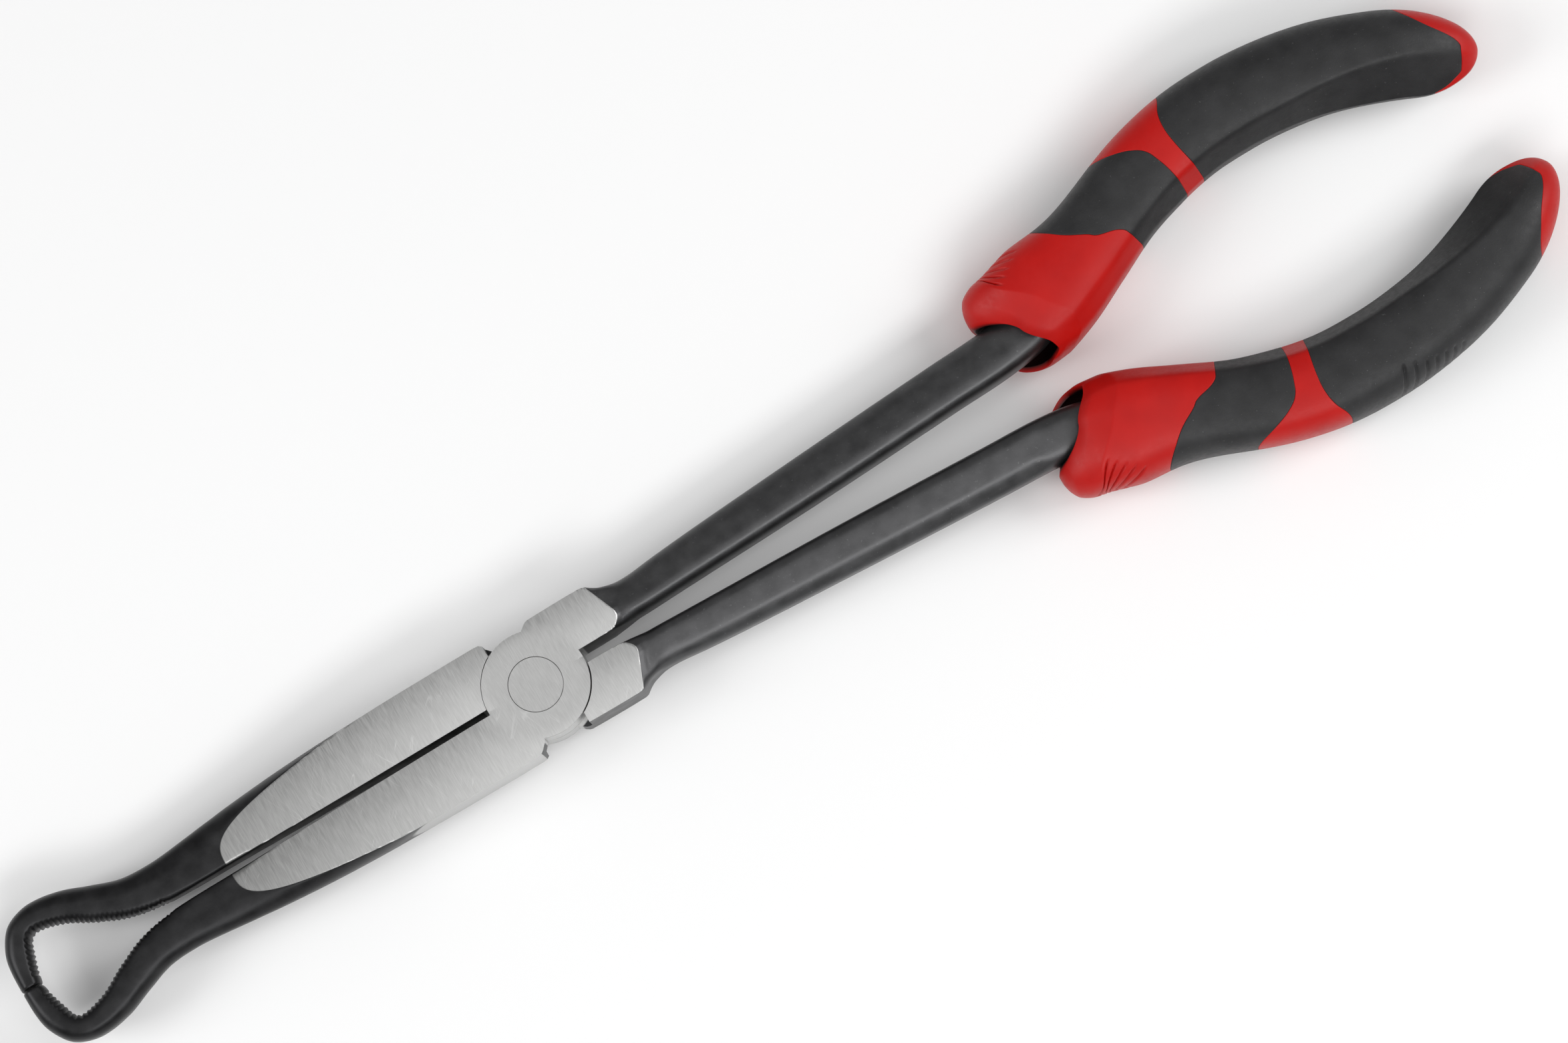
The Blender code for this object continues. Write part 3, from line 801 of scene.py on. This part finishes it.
def linear(code):
    """An sRGB hex colour as linear red, green, blue and alpha."""
    parts = [int(code[i : i + 2], 16) / 255 for i in (1, 3, 5)]
    return [v / 12.92 if v <= 0.04045 else ((v + 0.055) / 1.055) ** 2.4 for v in parts] + [1.0]


def node(tree, kind, inputs, output=0, **settings):
    """Adds a node with its settings, and gives back its output of that number. inputs are listed in order, or
    keyed by number: each is a number, a hex colour, the output that is linked in, or None to leave it alone."""
    made = tree.nodes.new(kind)
    for key, value in settings.items():
        setattr(made, key, value)
    for key, value in inputs.items() if isinstance(inputs, dict) else enumerate(inputs):
        if isinstance(value, bpy.types.NodeSocket):
            tree.links.new(value, made.inputs[key])
        elif value is not None:
            made.inputs[key].default_value = linear(value) if isinstance(value, str) else value
    return made.outputs[output]


MATH, RANGE, MIX = "ShaderNodeMath", "ShaderNodeMapRange", "ShaderNodeMix"
NOISE, MAPPING, BUMP = "ShaderNodeTexNoise", "ShaderNodeMapping", "ShaderNodeBump"
NOISE_SPREAD = (0.3, 0.7)  # where nearly all of a noise's values lie
# grain sizes and heights in millimetres
GRIND_LINES = (0.2, 2.5, 0.2)
GRIND_HAIRLINES = (0.12, 2.0, 0.12)
GRIND_RELIEF = 0.014
SCALE_RELIEF = 0.014
SCRATCH_LENGTH = (1.1, 16.0, 1.1)
SCRATCHES = ((-38.0, 4.0), (24.0, 5.0))  # the angle in degrees, and the size of the patches where they lie
SCRATCH_WIDTH = 0.012  # how near its middle value the noise makes a scratch
# the noise values over which each of these sets in, and how strong it gets
SCRATCH_PATCHES = (0.56, 0.62, 0.0, 0.4)
RUBBED_PATCHES = (0.66, 0.78, 0.0, 0.35)
DUST_PATCHES = (0.7, 0.78, 0.0, 0.4)
OXIDE_MOTTLE, RUBBED_SPOTS, SCALE_PITS = 2.8, 0.45, 0.4
RED_TINT, RED_SATIN, RED_PORES, RED_RELIEF = 5.5, 0.65, 0.2, 0.009
RUBBER_TINT, RUBBER_LINT, RUBBER_SATIN, RUBBER_GRAIN, RUBBER_RELIEF = 4.0, 0.4, 0.8, 0.3, 0.025
PAINTED_LIGHT_SHIFT_X = (-10.0, 22.0)  # the jaws' painted shade turns into the shanks' painted light over this x
DISC_CROWN_FADE = (6.5, 11.0)  # distances from the rivet's axis


def new_material(name, **settings):
    """A material with a Principled shader: the material, node() for its tree, the shader's inputs, and its Object
    coordinates in millimetres."""
    material = bpy.data.materials.new(name)
    material.use_nodes = True
    tree = material.node_tree
    sockets = tree.nodes["Principled BSDF"].inputs
    for key, value in settings.items():
        sockets[key.replace("_", " ")].default_value = value
    add = functools.partial(node, tree)
    own = add("ShaderNodeTexCoord", [], output=3)
    place = add("ShaderNodeVectorMath", {0: own, 3: 1 / MM}, operation="SCALE")
    return material, add, sockets, place


def finish_with(material, sockets, **outputs):
    """Links each output to the shader's socket of that name."""
    for key, output in outputs.items():
        material.node_tree.links.new(output, sockets[key.replace("_", " ")])
    return material


def cross_grain(add, place):
    """Two noises drawn out across the tool, as a belt leaves them: its lines, and finer lines among them."""
    return [
        add(NOISE, {0: add(MAPPING, [place, None, None, size], vector_type="TEXTURE"), 2: 1.0, 3: detail})
        for size, detail in ((GRIND_LINES, 3.0), (GRIND_HAIRLINES, 2.0))
    ]


def forged_steel():
    """Drop-forged tool steel, blackened in a hot oxide bath and then ground bright on the joint and jaw faces.
    The oxide is a dark satin skin with faint mottling and rubbed spots. Cross grinding with a 120 grit belt
    leaves fine bright lines across the tool, drawn 0.2 mm apart so that they show, and a belt gives a little at
    the edges, so each face is crowned by a hair."""
    material, add, sockets, place = new_material("black_oxide_and_ground_steel")
    x, y, z = add("ShaderNodeSeparateXYZ", [place]).node.outputs
    out = add(MATH, [y], operation="ABSOLUTE")
    lift = add(MATH, [add(MATH, [z, HALF_HEAD], operation="SUBTRACT")], operation="ABSOLUTE")

    # ground where the surface lies in one of the ground planes, inside the outline of the flats
    tip_plane = HALF_HEAD - GRIND_FALL * (GRIND_BREAK_X - FLAT_TIP_X)
    plane = add(RANGE, [x, FLAT_TIP_X, GRIND_BREAK_X, tip_plane, HALF_HEAD])
    in_plane = add(RANGE, [add(MATH, [lift, plane], operation="SUBTRACT"), *FLAT_FADE_HEIGHT, 0.0, 1.0])
    along = add(RANGE, [x, FLAT_TIP_X, FLAT_TIP_X + FLAT_LENGTH, 0.0, 1.0])
    spread = add(MATH, [add(MATH, [out, FLAT_HALF_WIDTH], operation="DIVIDE"), 4.0], operation="POWER")
    within = add(RANGE, [add(MATH, [along, spread], operation="SUBTRACT"), 0.0, FLAT_FADE_SHARE, 0.0, 1.0])
    past_flats = add(RANGE, [x, FLAT_TIP_X + FLAT_LENGTH - 0.5, FLAT_TIP_X + FLAT_LENGTH, 0.0, 1.0])
    slant = add(MATH, [out, -HANDLE_FLAT_SLANT, HANDLE_FLAT_OUTER_X], operation="MULTIPLY_ADD")
    inner = add(MATH, [out, HANDLE_FLAT_INNER_SLANT, HANDLE_FLAT_INNER_X], operation="MULTIPLY_ADD")
    flat_end = add(MATH, [slant, inner, HANDLE_FLAT_ROUND], operation="SMOOTH_MIN")
    before_end = add(RANGE, [add(MATH, [flat_end, x], operation="SUBTRACT"), 0.0, FLAT_FADE_X, 0.0, 1.0])
    outline = add(MATH, [add(MATH, [within, past_flats], operation="MAXIMUM"), before_end], operation="MULTIPLY")
    faces = add(MATH, [in_plane, outline], operation="MULTIPLY")
    # the head's sides are ground too, to a curved end on the jaws
    bowed = add(MATH, [add(MATH, [lift, 2.0], operation="POWER"), -SIDE_FACE_BOW, x], operation="MULTIPLY_ADD")
    after_jaw = add(RANGE, [bowed, SIDE_FACE_START_X, SIDE_FACE_START_X + 1.0, 0.0, 1.0])
    before_shank = add(RANGE, [x, SIDE_FACE_END_X, SIDE_FACE_END_X + 0.3, 1.0, 0.0])
    at_side = add(RANGE, [out, *(SIDE_GRIND_Y + fade for fade in SIDE_FACE_FADE), 0.0, 1.0])
    sides = add(MATH, [add(MATH, [after_jaw, before_shank], operation="MULTIPLY"), at_side], operation="MULTIPLY")
    squares = add(MATH, [x, x, add(MATH, [y, y], operation="MULTIPLY")], operation="MULTIPLY_ADD")
    reach = add(MATH, [squares], operation="SQRT")
    joint = add(RANGE, [reach, JOINT_FACE_RADIUS, JOINT_FACE_RADIUS + 0.2, 1.0, 0.0])
    ground = add(MATH, [add(MATH, [faces, sides], operation="MAXIMUM"), joint], operation="MAXIMUM")

    grain, fine = cross_grain(add, place)
    mottle, speck, pits = (
        add(NOISE, {0: place, 2: 1 / size, 3: detail})
        for size, detail in ((OXIDE_MOTTLE, 4.0), (RUBBED_SPOTS, 3.0), (SCALE_PITS, 4.0))
    )
    # a few stray scratches at two angles: where a long, thin noise passes through its middle value
    scratches = 0.0
    for turn, patch in SCRATCHES:
        laid = add(MAPPING, [place, None, (0.0, 0.0, math.radians(turn)), SCRATCH_LENGTH], vector_type="TEXTURE")
        wave = add(MATH, [add(NOISE, {0: laid, 2: 1.0, 3: 0.0}), 0.5], operation="SUBTRACT")
        line = add(RANGE, [add(MATH, [wave], operation="ABSOLUTE"), 0.0, SCRATCH_WIDTH, 1.0, 0.0])
        kept = add(RANGE, [add(NOISE, {0: place, 2: 1 / patch, 3: 1.0}), *SCRATCH_PATCHES])
        line = add(MATH, [line, kept], operation="MULTIPLY")
        scratches = add(MATH, [scratches, line], operation="MAXIMUM")

    # the ground flats darken towards the tips: painted shade for their dimmer reflection there
    painted_tip_shade = add(RANGE, [x, FLAT_TIP_X, GRIND_BREAK_X, 1.0, 0.0])
    streaks = add(RANGE, [grain, *NOISE_SPREAD, 0.0, 1.0])
    low, high = (
        add(MIX, {0: painted_tip_shade, 6: near, 7: far}, output=2, data_type="RGBA")
        for near, far in (("#C0C0BF", "#919190"), ("#CDCDCC", "#A3A3A2"))
    )
    bright = add(MIX, {0: streaks, 6: low, 7: high}, output=2, data_type="RGBA")
    bright = add(MIX, {0: scratches, 6: bright, 7: "#E2E2E1"}, output=2, data_type="RGBA")
    cloud = add(RANGE, [mottle, *NOISE_SPREAD, 0.0, 1.0])
    on_shank = add(RANGE, [x, *PAINTED_LIGHT_SHIFT_X, 0.0, 1.0])
    # a shaded copy of the oxide for the jaws and a lit copy for the shanks: painted shade and painted light
    shaded_jaw_oxide, lit_shank_oxide = (
        add(MIX, {0: cloud, 6: first, 7: second}, output=2, data_type="RGBA")
        for first, second in (("#272728", "#343435"), ("#4A4A4B", "#555556"))
    )
    dark = add(MIX, {0: on_shank, 6: shaded_jaw_oxide, 7: lit_shank_oxide}, output=2, data_type="RGBA")
    rubbed = add(MATH, [add(RANGE, [speck, *RUBBED_PATCHES]), on_shank], operation="MULTIPLY")
    dark = add(MIX, {0: rubbed, 6: dark, 7: "#8A8A8A"}, output=2, data_type="RGBA")

    satin = add(RANGE, [mottle, *NOISE_SPREAD, 0.34, 0.44])
    polish = add(RANGE, [grain, *NOISE_SPREAD, 0.3, 0.4])

    # heights in millimetres: the crown is -(|y| - middle)^2 * bend / 2, and it fades out over the joint's disc
    aside = add(MATH, [add(MATH, [out, FLAT_MIDDLE_Y], operation="SUBTRACT"), 2.0], operation="POWER")
    off_disc = add(RANGE, [reach, *DISC_CROWN_FADE, 0.0, -FLAT_CROWN / 2], interpolation_type="SMOOTHSTEP")
    crown = add(MATH, [aside, off_disc], operation="MULTIPLY")
    ground_relief = add(MATH, [fine, GRIND_RELIEF, crown], operation="MULTIPLY_ADD")
    oxide_normal = add(BUMP, {0: 1.0, 1: SCALE_RELIEF * MM, 3: pits})
    ground_normal = add(BUMP, {0: 1.0, 1: MM, 3: ground_relief})
    return finish_with(
        material,
        sockets,
        Base_Color=add(MIX, {0: ground, 6: dark, 7: bright}, output=2, data_type="RGBA"),
        Roughness=add(MIX, {0: ground, 2: satin, 3: polish}, data_type="FLOAT"),
        Metallic=add(MIX, {0: ground, 2: 0.85, 3: 1.0}, data_type="FLOAT"),
        Normal=add(MIX, {0: ground, 4: oxide_normal, 5: ground_normal}, output=1, data_type="VECTOR"),
    )


def ground_rivet():
    """The rivet's end, ground in one pass with the joint: the same bright cross grain."""
    material, add, sockets, place = new_material("ground_rivet_steel", Metallic=1.0)
    grain, fine = cross_grain(add, place)
    streaks = add(RANGE, [grain, *NOISE_SPREAD, 0.0, 1.0])
    return finish_with(
        material,
        sockets,
        Base_Color=add(MIX, {0: streaks, 6: "#BEBEBD", 7: "#CBCBCA"}, output=2, data_type="RGBA"),
        Roughness=add(RANGE, [grain, *NOISE_SPREAD, 0.3, 0.4]),
        Normal=add(BUMP, {0: 1.0, 1: GRIND_RELIEF * MM, 3: fine}),
    )


def red_polypropylene():
    """Injection-moulded polypropylene in signal red, from a finely spark-eroded mould: a satin skin. The hole that
    the shank enters is coloured near black: painted shade for its deep inside."""
    material, add, sockets, place = new_material("moulded_red_polypropylene", IOR=1.49, Specular_IOR_Level=0.3)
    tint, satin, pores = (
        add(NOISE, {0: place, 2: 1 / size, 3: detail})
        for size, detail in ((RED_TINT, 3.0), (RED_SATIN, 3.0), (RED_PORES, 2.0))
    )
    cloud = add(RANGE, [tint, *NOISE_SPREAD, 0.0, 1.0])
    skin = add(MIX, {0: cloud, 6: "#AC0A06", 7: "#B60E08"}, output=2, data_type="RGBA")
    painted_bore_shade = add("ShaderNodeAttribute", [], output=2, attribute_name="painted_bore_shade")
    return finish_with(
        material,
        sockets,
        # near black inside the hole for the shank: painted shade
        Base_Color=add(MIX, {0: painted_bore_shade, 6: skin, 7: "#1A0706"}, output=2, data_type="RGBA"),
        Roughness=add(RANGE, [satin, *NOISE_SPREAD, 0.4, 0.5]),
        Normal=add(BUMP, {0: 1.0, 1: RED_RELIEF * MM, 3: pores}),
    )


def black_rubber():
    """Black thermoplastic rubber, moulded over the core in an eroded mould: matt, finely grained, a little dusty."""
    material, add, sockets, place = new_material(
        "moulded_black_thermoplastic_rubber", IOR=1.5, Specular_IOR_Level=0.4
    )
    tint, lint, satin, grain = (
        add(NOISE, {0: place, 2: 1 / size, 3: detail})
        for size, detail in ((RUBBER_TINT, 4.0), (RUBBER_LINT, 2.0), (RUBBER_SATIN, 3.0), (RUBBER_GRAIN, 4.0))
    )
    cloud, dust = add(RANGE, [tint, *NOISE_SPREAD, 0.0, 1.0]), add(RANGE, [lint, *DUST_PATCHES])
    skin = add(MIX, {0: cloud, 6: "#1C1C1D", 7: "#282829"}, output=2, data_type="RGBA")
    return finish_with(
        material,
        sockets,
        Base_Color=add(MIX, {0: dust, 6: skin, 7: "#6A6A6A"}, output=2, data_type="RGBA"),
        Roughness=add(RANGE, [satin, *NOISE_SPREAD, 0.46, 0.56]),
        Normal=add(BUMP, {0: 1.0, 1: RUBBER_RELIEF * MM, 3: grain}),
    )


# ---------------------------------------------------------------- the pieces

steel, rivet_steel, red, black = forged_steel(), ground_rivet(), red_polypropylene(), black_rubber()
lever = lever_mesh()
core = core_mesh()
front_panel = panel_mesh("front_panel", collar_end, band_start, FRONT_PANEL_ROWS)
rear_panel = panel_mesh("rear_panel", band_end, cap_start, REAR_PANEL_ROWS)

for letter, lever_way, grip_way in (("a", AS_MADE, AS_MADE), ("b", TURNED_OVER, MIRRORED)):
    body = f"lever_{letter}_body"
    finished(f"forged_lever_{letter}", lever, lever_way, steel, body, [f"lever_{letter}"])
    finished(f"red_grip_core_{letter}", core, grip_way, red, body, [f"grip_core_{letter}"], 60.0)
    for place, mesh in (("front", front_panel), ("rear", rear_panel)):
        nodes = [f"grip_{place}_panel_{letter}"]
        finished(f"black_{place}_panel_{letter}", mesh, lever_way, black, body, nodes, 60.0)

rivet_mesh = round_bar("rivet_bar", RIVET_RADIUS, -HALF_HEAD, HALF_HEAD, RIVET_CHAMFER)
finished("flush_rivet", rivet_mesh, AS_MADE, rivet_steel, "lever_a_body", ["rivet"])

# ---------------------------------------------------------------- floor, light and camera

FLOOR_Z = min(cad_low.z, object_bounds()[0].z) - 0.0001
FLOOR_HALF_SIDE = 6.0
CAMERA_DISTANCE = 1100.0
CAMERA_SPAN = 254.115  # the width of the view at that distance
CAMERA_AIM = (47.87, 2.73, 5.0)
CAMERA_ROLL = 0.54306
CAMERA_LEAN = (-0.0045, -0.1412)


def floor():
    """A flat pale sheet, large enough to fill every view."""
    corners = [(i * FLOOR_HALF_SIDE, j * FLOOR_HALF_SIDE, FLOOR_Z) for i, j in ((-1, -1), (1, -1), (1, 1), (-1, 1))]
    mesh = bpy.data.meshes.new("floor")
    mesh.from_pydata(corners, [], [(0, 1, 2, 3)])
    material, _, sockets, _ = new_material("matt_white_sheet", Roughness=0.9)
    sockets["Base Color"].default_value = linear("#F2F2F2")
    mesh.materials.append(material)
    sheet = bpy.data.objects.new("floor", mesh)
    bpy.context.scene.collection.objects.link(sheet)


def softbox(name, place, size, power, aim=(0.045, 0.0, 0.0)):
    """A rectangular area light at place that faces aim."""
    light = bpy.data.lights.new(name, "AREA")
    light.shape, light.size, light.size_y, light.energy = "RECTANGLE", size[0], size[1], power
    lamp = bpy.data.objects.new(name, light)
    lamp.location = place
    lamp.rotation_euler = (Vector(aim) - Vector(place)).to_track_quat("-Z", "Y").to_euler()
    bpy.context.scene.collection.objects.link(lamp)


def camera():
    """Looks down on the tool from just off its rivet's axis, with the tool's length rising to the right."""
    back = Vector((math.tan(CAMERA_LEAN[0]), math.tan(CAMERA_LEAN[1]), 1.0)).normalized()
    right = Vector((math.cos(CAMERA_ROLL), -math.sin(CAMERA_ROLL), 0.0))
    right = (right - back * right.dot(back)).normalized()
    up = back.cross(right)
    data = bpy.data.cameras.new("camera")
    data.sensor_width = 36.0
    data.lens = data.sensor_width * CAMERA_DISTANCE / CAMERA_SPAN
    data.clip_start, data.clip_end = 0.05, 20.0
    rig = bpy.data.objects.new("camera", data)
    place = Vector(CAMERA_AIM) * MM + back * CAMERA_DISTANCE * MM
    rig.matrix_world = Matrix.Translation(place) @ Matrix((right, up, back)).transposed().to_4x4()
    bpy.context.scene.collection.objects.link(rig)
    bpy.context.scene.camera = rig


floor()
softbox("overhead_softbox", (0.0, -0.28, 1.3), (1.3, 1.1), 3.6)
softbox("near_side_softbox", (0.1, -0.85, 0.95), (1.2, 0.35), 6.0)
softbox("jaw_end_softbox", (-1.1, 0.3, 0.9), (0.6, 0.8), 8.0)
softbox("handle_end_softbox", (1.2, -0.2, 0.9), (0.6, 0.8), 8.0)
camera()

world = bpy.data.worlds.new("studio")
world.use_nodes = True
world.node_tree.nodes["Background"].inputs["Color"].default_value = linear("#F4F4F4")
world.node_tree.nodes["Background"].inputs["Strength"].default_value = 0.33
bpy.context.scene.world = world
bpy.context.scene.view_settings.view_transform = "Standard"
